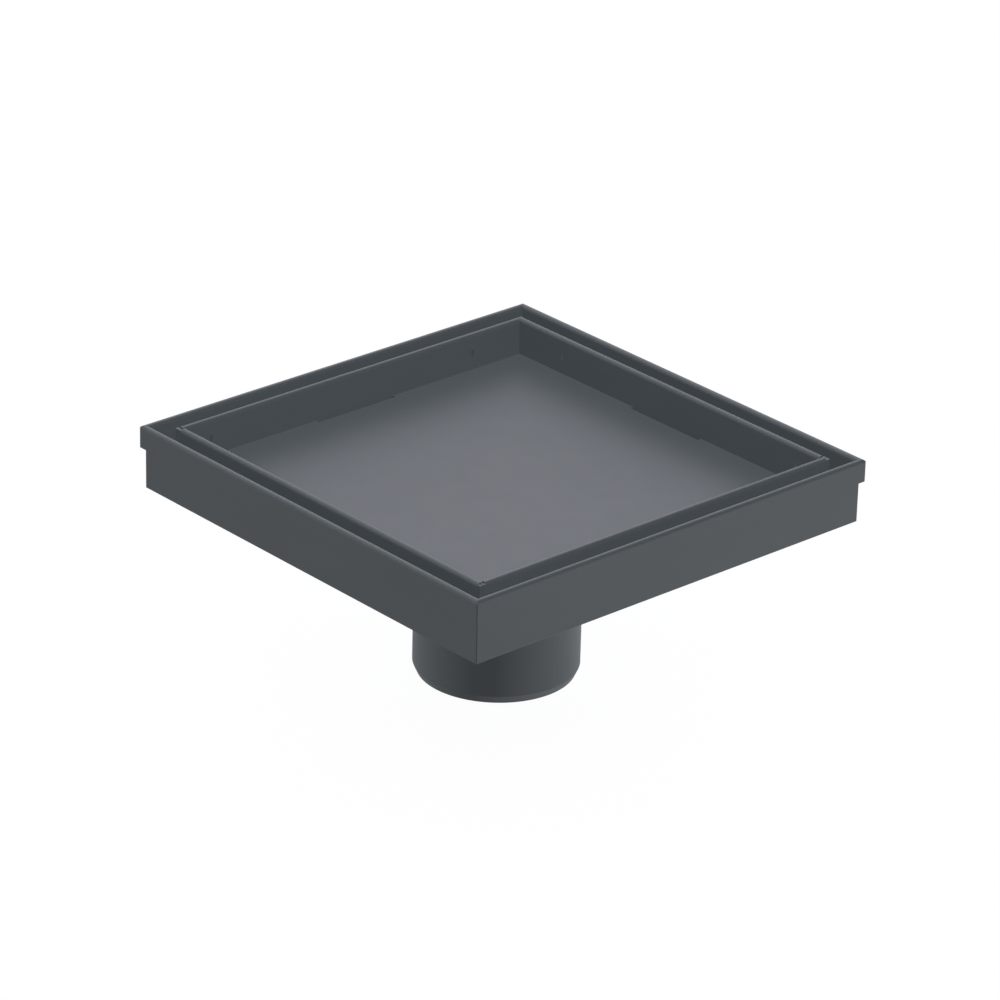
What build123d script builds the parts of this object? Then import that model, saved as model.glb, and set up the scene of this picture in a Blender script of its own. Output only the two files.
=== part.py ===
from build123d import *
import os

# Square floor drain for a tile insert: a folded frame with a round outlet,
# and a folded tray that lifts out and carries a cut piece of the floor's tile.
# Millimetres, +Z up, origin at the centre of the outlet spigot's lower end.

# Sheet and its folds
sheet = 1.0
fold_edge = 0.3
hem_gap = 0.2

# Frame
frame_side = 150.0
frame_height = 20.0
lip_height = 7.0
corner_round = 0.3
neck_length = 4.0
neck_bend = 1.5

# Outlet spigot
spigot_diameter = 50.0
spigot_wall = 2.0
spigot_drop = 53.0
bevel_length = 2.5
bevel_depth = 1.1
weld_height = 1.4
weld_fullness = 0.65

# Tile tray
water_gap = 5.3
tray_depth = 12.3
leaf_height = 5.15
corner_seam = 0.2
end_drop = 0.4
tab_length = 9.2
tab_drop = 2.35
tab_inset = 16.5
weep_length = 30.0
weep_width = 1.35

# Feet under the tray
foot_diameter = 10.0
foot_inset = 15.5
foot_chamfer = 0.8

# Heights
pan_under = spigot_drop
neck_end = pan_under - neck_length
pan_floor = pan_under + sheet
rim_top = pan_under + frame_height
lip_low = rim_top - lip_height
tray_floor = rim_top - tray_depth
tray_under = tray_floor - sheet

# Distances from the middle to each upright face
rim_width = 2 * sheet + hem_gap
frame_outer = frame_side / 2 - sheet - hem_gap
frame_inner = frame_outer - sheet
tray_outer = frame_inner - water_gap
tray_inner = tray_outer - sheet

# Hems and outlet
hem_bend = (hem_gap + sheet) / 2
bend_height = rim_top - rim_width / 2
bore_radius = spigot_diameter / 2 - spigot_wall


def wall_section(outer, under, top):
    """A wall from its foot up to top, with X outwards and Y upwards."""
    wall = Pos(outer - sheet, under) * Rectangle(sheet, top - under, align=Align.MIN)
    foot = wall.vertices().group_by(Axis.Y)[0].sort_by(Axis.X)[-1]
    return fillet(foot, fold_edge)


def hem_section(outer, side):
    """The half-round fold along a rim, outwards for side 1 and inwards for side -1."""
    centre = outer - sheet / 2 + side * hem_bend
    return trace(CenterArc((centre, bend_height), hem_bend, 0, 180), line_width=sheet)


def leaf_section(outer, side, low):
    """The sheet that comes down again from the hem, as far as low."""
    leaf = outer - sheet / 2 + side * 2 * hem_bend
    return trace(Line((leaf, bend_height), (leaf, low)), line_width=sheet)


def strip(section, start, end):
    """Run a wall section along the +X side, from start to end on Y."""
    upright = Plane.XZ * section
    return extrude(Pos(0, end, 0) * upright, end - start)


def four_sides(piece):
    """The same piece on each side of the square."""
    return [piece.rotate(Axis.Z, 90 * turn) for turn in range(4)]


def floor_plate(inner, under):
    """The flat of a folded tray, out to the walls."""
    flat = 2 * inner
    return Pos(0, 0, under) * Box(flat, flat, sheet, align=(Align.CENTER, Align.CENTER, Align.MIN))


def corner_cut(outer, low, high):
    """Cutter that rounds one upright corner of the frame, from low to high."""
    middle = outer - corner_round
    corner = Rectangle(2 * corner_round, 2 * corner_round, align=Align.MIN) - Circle(corner_round)
    return extrude(Pos(middle, middle, low) * corner, high - low)


def outlet_hole():
    """Cutter for the floor, out to where the neck's bend begins."""
    return Pos(0, 0, pan_under) * Cylinder(bore_radius + sheet + neck_bend, 2 * frame_height)


def outlet_neck():
    """The floor's sheet drawn down round the outlet, in one with the floor."""
    middle = bore_radius + sheet / 2
    bend = neck_bend + sheet / 2
    bend_low = pan_under - neck_bend
    straight = Line((middle, neck_end), (middle, bend_low))
    mouth = CenterArc((middle + bend, bend_low), bend, 90, 90)
    return revolve(Plane.XZ * trace([straight, mouth], line_width=sheet), Axis.Z)


def frame_pan():
    """Frame folded from one sheet, with mitred corners, an outward hem and a neck drawn for the outlet."""
    half = frame_side / 2
    wall = strip(wall_section(frame_outer, pan_under, bend_height), -half, half)
    wall += strip(hem_section(frame_outer, 1), -half, half)
    wall += strip(leaf_section(frame_outer, 1, lip_low), -half, half)
    quarter = make_face(Polyline((0, 0), (half, -half), (half, half), close=True))
    wall &= extrude(quarter, rim_top)
    pan = floor_plate(frame_inner, pan_under) + four_sides(wall)
    pan -= four_sides(corner_cut(frame_outer, pan_under, lip_low))
    pan -= four_sides(corner_cut(half, lip_low, rim_top))
    return pan - outlet_hole() + outlet_neck()


def outlet_spigot():
    """Tube welded under the frame's neck, with a bevelled end that enters a pipe."""
    radius = spigot_diameter / 2
    neck_radius = bore_radius + sheet
    tube = make_face(Polyline(
        (bore_radius, 0),
        (radius - bevel_depth, 0),
        (radius, bevel_length),
        (radius, neck_end),
        (bore_radius, neck_end),
        close=True,
    ))
    crown = (
        neck_radius + weld_fullness * (radius - neck_radius),
        neck_end + weld_fullness * weld_height,
    )
    weld_top = (neck_radius, neck_end + weld_height)
    weld = make_face([
        ThreePointArc((radius, neck_end), crown, weld_top),
        Polyline(weld_top, (neck_radius, neck_end), (radius, neck_end)),
    ])
    return revolve(Plane.XZ * (tube + weld), Axis.Z)


def tray_wall():
    """The tray's +X wall: full length at one end, butting on its neighbour at the other."""
    butt = tray_inner - corner_seam
    hem_start = rim_width + corner_seam - tray_outer
    leaf_low = rim_top - leaf_height
    plain = wall_section(tray_outer, tray_under, rim_top - end_drop)
    wall = strip(plain, -butt, hem_start) + strip(plain, butt, tray_outer)
    wall += strip(wall_section(tray_outer, tray_under, bend_height), hem_start, butt)
    wall += strip(hem_section(tray_outer, -1), hem_start, butt)
    wall += strip(leaf_section(tray_outer, -1, leaf_low), hem_start, butt)
    tab_middle = tray_outer - tab_inset
    tab = leaf_section(tray_outer, -1, leaf_low - tab_drop)
    for middle in (-tab_middle, tab_middle):
        wall += strip(tab, middle - tab_length / 2, middle + tab_length / 2)
    return wall


def weep_slot():
    """Cutter for the slot in the floor along the middle of a wall's foot."""
    edge = (Align.MAX, Align.CENTER, Align.CENTER)
    return Pos(tray_inner, 0, tray_floor) * Box(weep_width, weep_length, 4 * sheet, align=edge)


def tile_tray():
    """Tray folded from one sheet, with inward hems and a seam at each corner."""
    tray = floor_plate(tray_inner, tray_under) + four_sides(tray_wall())
    return tray - four_sides(weep_slot())


def tray_foot():
    """Round buffer between the frame's floor and the underside of the tray."""
    foot = Cylinder(foot_diameter / 2, tray_under - pan_floor, align=(Align.CENTER, Align.CENTER, Align.MIN))
    foot = chamfer(foot.edges().group_by(Axis.Z)[0], foot_chamfer)
    place = tray_outer - foot_inset
    return Pos(place, place, pan_floor) * foot


pieces = {
    "frame_pan": frame_pan(),
    "outlet_spigot": outlet_spigot(),
    "tile_tray": tile_tray(),
}
for number, foot in enumerate(four_sides(tray_foot()), start=1):
    pieces[f"tray_foot_{number}"] = foot

os.makedirs("parts", exist_ok=True)
for name, piece in pieces.items():
    export_step(piece, f"parts/{name}.step")
    print(name, len(piece.solids()), "solid", round(piece.volume, 1), "mm3")
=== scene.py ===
# %% [markdown]
# # A floor drain with a tile tray
#
# The drain is a shallow square frame with a round outlet below, and a tray that lifts out of it. A
# cut piece of floor tile is set in the tray, so that only a thin square slot shows in the floor.
# Its pieces are folded sheet, a tube and four rubber feet, made to size as solids. This lesson loads
# them, gives each a finish made of shader nodes, and lights them as in a plain studio.

# %% Load the drain
import math

import bpy
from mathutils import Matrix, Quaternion, Vector


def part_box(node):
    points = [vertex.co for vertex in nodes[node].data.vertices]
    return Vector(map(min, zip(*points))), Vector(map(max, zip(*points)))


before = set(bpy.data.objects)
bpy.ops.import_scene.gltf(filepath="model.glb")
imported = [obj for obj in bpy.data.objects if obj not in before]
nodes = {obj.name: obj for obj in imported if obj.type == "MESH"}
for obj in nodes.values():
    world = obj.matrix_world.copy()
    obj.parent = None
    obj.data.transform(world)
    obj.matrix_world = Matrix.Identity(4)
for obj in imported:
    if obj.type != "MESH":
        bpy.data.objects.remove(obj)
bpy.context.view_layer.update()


print("pieces:", ", ".join(sorted(nodes)))

# %% [markdown]
# ## A small kit for shader nodes
#
# A finish is a small graph: a pattern is read at each point of the surface, and its value changes the
# colour, the roughness and the bump. The patterns read Object coordinates, which are metres here, so a
# scale of 1000 means about one grain in each millimetre. The nodes could be added and joined line by
# line in each finish, but small helpers that add one node each let a finish read like a short recipe.
# The owner of the nodes is a material, or the world.

# %% Nodes and wires
def add_node(owner, kind, **settings):
    """One shader node, with its settings."""
    node = owner.node_tree.nodes.new(kind)
    for key, value in settings.items():
        setattr(node, key, value)
    return node


def join(owner, source, target):
    """A wire from an output to an input."""
    owner.node_tree.links.new(source, target)


def start_finish(name):
    """A new material with its shader and a node that gives the place on the piece."""
    finish = bpy.data.materials.new(name)
    finish.use_nodes = True
    shader = finish.node_tree.nodes["Principled BSDF"]
    place = add_node(finish, "ShaderNodeTexCoord")
    return finish, shader, place.outputs["Object"]


print("nodes and wires ready")

# %% Patterns, ranges, tones and bumps
# A noise pattern has most of its values between these two.
pattern_middle = (0.3, 0.7)


def grain(owner, place, scale, detail):
    """A noise pattern with about scale grains in a metre."""
    noise = add_node(owner, "ShaderNodeTexNoise")
    noise.inputs["Scale"].default_value = scale
    noise.inputs["Detail"].default_value = detail
    join(owner, place, noise.inputs["Vector"])
    return noise.outputs["Fac"]


def remap(owner, value, before, after, smooth=False):
    """A value moved from one range to another, in a straight line or a smooth step."""
    kind = "SMOOTHSTEP" if smooth else "LINEAR"
    ranger = add_node(owner, "ShaderNodeMapRange", interpolation_type=kind)
    ends = ("From Min", "From Max", "To Min", "To Max")
    for end, level in zip(ends, (*before, *after)):
        ranger.inputs[end].default_value = level
    join(owner, value, ranger.inputs["Value"])
    return ranger.outputs["Result"]


def two_tones(owner, value, dark, light):
    """A colour between two tones, chosen by a pattern."""
    ramp = add_node(owner, "ShaderNodeValToRGB")
    for stop, position, tone in zip(ramp.color_ramp.elements, pattern_middle, (dark, light)):
        stop.position = position
        stop.color = (*tone, 1)
    join(owner, value, ramp.inputs["Fac"])
    return ramp.outputs["Color"]


def raise_bump(owner, height, depth, under=None):
    """A bump of that depth in metres, on top of an earlier bump if there is one."""
    bump = add_node(owner, "ShaderNodeBump")
    bump.inputs["Strength"].default_value = 1.0
    bump.inputs["Distance"].default_value = depth
    join(owner, height, bump.inputs["Height"])
    if under is not None:
        join(owner, under, bump.inputs["Normal"])
    return bump.outputs["Normal"]


print("finish helpers ready")

# %% [markdown]
# ## The gunmetal coat
#
# The sheet and the tube have a baked powder coat in a cool dark grey, with a satin gloss. Up close such
# a coat has a fine orange peel, and its gloss varies a little from place to place. It could be one flat
# colour with one roughness, but that looks like plastic when the camera comes near. So a broad noise
# shifts the tone, a finer one the roughness, and two grains make the peel.

# %% Gunmetal coat
coat_dark = (0.069, 0.0797, 0.0875)
coat_light = (0.071, 0.0823, 0.0905)
coat_roughness = (0.448, 0.472)
cloud_scale = 22
gloss_scale = 160
peel_scale = 1500
speck_scale = 5200
peel_depth = 0.000006
speck_depth = 0.0000015


def gunmetal_coat(name):
    """Satin powder coat on steel. Gives the material and its bump, for a finish that adds to it."""
    finish, shader, place = start_finish(name)
    tone = grain(finish, place, cloud_scale, detail=3)
    join(finish, two_tones(finish, tone, coat_dark, coat_light), shader.inputs["Base Color"])
    gloss = grain(finish, place, gloss_scale, detail=4)
    join(finish, remap(finish, gloss, pattern_middle, coat_roughness), shader.inputs["Roughness"])
    peel = raise_bump(finish, grain(finish, place, peel_scale, detail=2), peel_depth)
    specks = raise_bump(finish, grain(finish, place, speck_scale, detail=1), speck_depth, peel)
    join(finish, specks, shader.inputs["Normal"])
    return finish, shader, place, specks


coat = gunmetal_coat("gunmetal_coat")[0]
print("made", coat.name, "with", len(coat.node_tree.nodes), "nodes")

# %% [markdown]
# ## The welded spigot
#
# The spigot has the same coat, but a weld joins it to the frame's neck, and the coat doesn't hide the
# weld's ripples. They could be modelled one by one, which costs many faces for something so small. Here
# a wave that goes round the tube raises the bump instead, only in the few millimetres round the joint.
# The wave needs the angle round the tube, so two more helpers take a place apart and calculate with it.

# %% Places and sums
def along_axes(owner, place):
    """The three coordinates of a place, each on an output of its own."""
    parts = add_node(owner, "ShaderNodeSeparateXYZ")
    join(owner, place, parts.inputs["Vector"])
    return [parts.outputs[axis] for axis in "XYZ"]


def calculate(owner, operation, first, second=0.0):
    """The result of a sum on two values. Each is a number or the output of a node."""
    node = add_node(owner, "ShaderNodeMath", operation=operation)
    for socket, value in zip(node.inputs, (first, second)):
        if isinstance(value, (int, float)):
            socket.default_value = value
        else:
            join(owner, value, socket)
    return node.outputs["Value"]


print("sums ready")

# %% Spigot coat with weld ripples
weld_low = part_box("frame_pan")[0].z
weld_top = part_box("outlet_spigot")[1].z
ripples_full = weld_low + (weld_top - weld_low) / 3
ripples_round = 120
ripple_depth = 0.00012


def spigot_coat():
    """The gunmetal coat, with the ripples of the weld at the top of the tube."""
    finish, shader, place, specks = gunmetal_coat("spigot_coat")
    x, y, z = along_axes(finish, place)
    angle = calculate(finish, "ARCTAN2", y, x)
    wave = calculate(finish, "SINE", calculate(finish, "MULTIPLY", angle, ripples_round))
    band = remap(finish, z, (weld_low, ripples_full), (0, 1), smooth=True)
    ripple = calculate(finish, "MULTIPLY", wave, band)
    join(finish, raise_bump(finish, ripple, ripple_depth, specks), shader.inputs["Normal"])
    return finish


tube_coat = spigot_coat()

# %% [markdown]
# ## The rubber feet
#
# Four buffers hold the tray above the frame's floor. Moulded rubber is nearly black and scatters light
# widely, with a fine grain from the mould. Plain black would lose the round form of the feet in their
# dark place, so the tone is mottled a little, and a high roughness and a small bump do the rest.

# %% Foot rubber
rubber_dark = (0.018, 0.018, 0.019)
rubber_light = (0.032, 0.032, 0.033)
rubber_roughness = (0.72, 0.86)
mottle_scale = 900
mould_scale = 2600
mould_depth = 0.00002
rubber_shine = 0.3


def foot_rubber():
    """Matt black rubber with a moulded grain."""
    finish, shader, place = start_finish("foot_rubber")
    mottle = grain(finish, place, mottle_scale, detail=4)
    join(finish, two_tones(finish, mottle, rubber_dark, rubber_light), shader.inputs["Base Color"])
    join(finish, remap(finish, mottle, pattern_middle, rubber_roughness), shader.inputs["Roughness"])
    mould = raise_bump(finish, grain(finish, place, mould_scale, detail=3), mould_depth)
    join(finish, mould, shader.inputs["Normal"])
    shader.inputs["Specular IOR Level"].default_value = rubber_shine
    return finish


rubber = foot_rubber()
print("made", rubber.name)

# %% [markdown]
# ## Dress the pieces
#
# The solids could be copied and given bevels here, but their folds, rounded rims and edges are modelled
# already. So they stay as they are and only their materials change. The frame and the tray were coated
# alike, the spigot also shows its weld, and the feet are bare rubber.

# %% Assign finishes
for name, piece in nodes.items():
    piece.data.materials.clear()
    if name.startswith("tray_foot"):
        piece.data.materials.append(rubber)
    elif name == "outlet_spigot":
        piece.data.materials.append(tube_coat)
    else:
        piece.data.materials.append(coat)
    print(name, "wears", piece.data.materials[0].name)

# %% [markdown]
# ## A white floor
#
# The drain stands on white paper. Paper lit until it looks pure white would throw so much light back
# that the drain's walls would look pale. So this floor asks what kind of ray has reached it. For the
# camera it is mostly a white glow, and the rest is plain matt white, which keeps the soft shadow. In
# the gloss of the coat it shows more weakly, and least in front, where a painted shade darkens it as
# if the paper lay in shade there. For light that bounces it is grey.

# %% How white each ray sees the floor
# Painted shade: in the gloss the floor grows darker from back_edge towards front_edge.
front_edge = -0.05
back_edge = 0.10
front_gloss = 0.2
back_gloss = 0.6


def floor_sight(owner, place):
    """From 0 to 1: the camera sees all of the white, the gloss a share of it, bounced light none."""
    _, depth, _ = along_axes(owner, place)
    share = remap(owner, depth, (front_edge, back_edge), (front_gloss, back_gloss), smooth=True)
    rays = add_node(owner, "ShaderNodeLightPath").outputs
    gloss = calculate(owner, "MAXIMUM", rays["Is Glossy Ray"], rays["Is Transmission Ray"])
    gloss_share = calculate(owner, "MULTIPLY", gloss, share)
    return calculate(owner, "MAXIMUM", rays["Is Camera Ray"], gloss_share)


print("floor shows", front_gloss, "to", back_gloss, "of its white in the gloss")

# %% Lay the floor
floor_half = 6.0
glow_share = 0.6
floor_seen = 0.88
floor_bounce = 0.16


def white_floor():
    """A floor that looks white and holds a soft shadow."""
    finish, shader, place = start_finish("white_floor")
    finish.node_tree.nodes.remove(shader)
    sight = floor_sight(finish, place)
    matt = add_node(finish, "ShaderNodeBsdfDiffuse")
    join(finish, remap(finish, sight, (0, 1), (floor_bounce, floor_seen)), matt.inputs["Color"])
    glow = add_node(finish, "ShaderNodeEmission")
    mixed = add_node(finish, "ShaderNodeMixShader")
    join(finish, calculate(finish, "MULTIPLY", sight, glow_share), mixed.inputs["Fac"])
    join(finish, matt.outputs["BSDF"], mixed.inputs[1])
    join(finish, glow.outputs["Emission"], mixed.inputs[2])
    surface = finish.node_tree.nodes["Material Output"].inputs["Surface"]
    join(finish, mixed.outputs["Shader"], surface)
    return finish


bpy.ops.mesh.primitive_plane_add(size=2 * floor_half)
floor = bpy.context.object
floor.name = "studio_floor"
floor.data.materials.append(white_floor())
print("floor", 2 * floor_half, "m square")

# %% [markdown]
# ## Sky and panel
#
# A satin coat shows its light as a broad sheen. Here a large bright panel stands behind the drain, and
# its reflection makes the tray's floor shine and draws a line along each rounded rim. The panel could
# be an area lamp, but as a soft round patch of the world it has no edge that shows in the sheen. The
# rest of the sky is dim. Its light is a touch cooler than the lamps', which gives the sheen its hue,
# and the camera sees white wherever it looks past the floor.

# %% Panel
panel_azimuth = 228
panel_elevation = 25
panel_strength = 1.34
sky_in_gloss = 0.08
# Cosines of the angle from the panel's middle, where it begins and where it is full.
panel_edge = (0.5, 0.9)


def direction(azimuth, elevation):
    """The way to a point seen from the drain, in degrees, with azimuth 0 towards -Y."""
    around = math.radians(azimuth)
    above = math.radians(elevation)
    flat = math.cos(above)
    return Vector((math.sin(around) * flat, -math.cos(around) * flat, math.sin(above)))


world = bpy.data.worlds.new("studio_sky")
world.use_nodes = True
toward = add_node(world, "ShaderNodeTexCoord").outputs["Generated"]
nearness = add_node(world, "ShaderNodeVectorMath", operation="DOT_PRODUCT")
nearness.inputs[1].default_value = direction(panel_azimuth, panel_elevation)
join(world, toward, nearness.inputs[0])
panel = remap(world, nearness.outputs["Value"], panel_edge, (sky_in_gloss, panel_strength), smooth=True)
print("panel shows at", panel_strength)

# %% Sky
sky_light = 0.12
sky_tint = (1.03, 1.0, 1.085)

# Bounced rays get sky_light, and all others see the panel or, from the camera, white.
sky_rays = add_node(world, "ShaderNodeLightPath").outputs
shown = calculate(world, "MAXIMUM", panel, sky_rays["Is Camera Ray"])
level = add_node(world, "ShaderNodeMapRange")
level.inputs["To Max"].default_value = sky_light
join(world, shown, level.inputs["To Min"])
join(world, sky_rays["Is Diffuse Ray"], level.inputs["Value"])
sky = world.node_tree.nodes["Background"]
sky.inputs["Color"].default_value = (*sky_tint, 1)
join(world, level.outputs["Result"], sky.inputs["Strength"])
bpy.context.scene.world = world
print("sky lights at", sky_light)

# %% [markdown]
# ## Lamps
#
# Each face of the drain has one even tone, as under wide soft lamps that stand all round. Area lamps
# fade with distance and would need to be very large. Sun lamps give the same light everywhere, and
# without shadows they act as wide as a tent of cloth. They stay out of the gloss, where the panel
# already shows. The right one shines from below, as light does that comes back from the paper, so
# that wall darkens where its rim begins to round.

# %% Lamps
# Name: azimuth, elevation, and the share of full light on a face turned to the lamp.
lamps = {
    "top_lamp": (0, 90, 0.67),
    "front_lamp": (42, 20, 0.26),
    "left_lamp": (-57, 20, 0.73),
    "right_lamp": (137, -30, 0.94),
}

for name, (azimuth, elevation, share_of_light) in lamps.items():
    lamp = bpy.data.lights.new(name, "SUN")
    lamp.energy = math.pi * share_of_light
    lamp.use_shadow = False
    holder = bpy.data.objects.new(name, lamp)
    holder.rotation_mode = "QUATERNION"
    holder.rotation_quaternion = (-direction(azimuth, elevation)).to_track_quat("-Z", "Y")
    holder.visible_glossy = False
    bpy.context.scene.collection.objects.link(holder)
    print(name, share_of_light)

# %% [markdown]
# ## Camera
#
# The camera stands well back with a long lens, so the square is only a little in perspective. It could
# be set by a place and three turns, but an angle round the drain, an angle above it, a small roll and a
# distance are easier to read and to change. Colours are shown as they are, with no film look over them.

# %% Camera
view_azimuth = 47.98
view_elevation = 24.994
view_roll = math.radians(1.467)
view_distance = 1.4791
view_lens = 181.89
sensor_width = 36
aim = Vector((-0.00004, -0.00005, 0.05445))

back = direction(view_azimuth, view_elevation)
lens = bpy.data.cameras.new("photo_view")
lens.sensor_width = sensor_width
lens.lens = view_lens
camera = bpy.data.objects.new("photo_view", lens)
camera.location = aim + back * view_distance
camera.rotation_mode = "QUATERNION"
camera.rotation_quaternion = (-back).to_track_quat("-Z", "Y") @ Quaternion((0, 0, 1), view_roll)
bpy.context.scene.collection.objects.link(camera)
bpy.context.scene.camera = camera
bpy.context.scene.view_settings.view_transform = "Standard"
print("camera at", [round(value, 3) for value in camera.location])
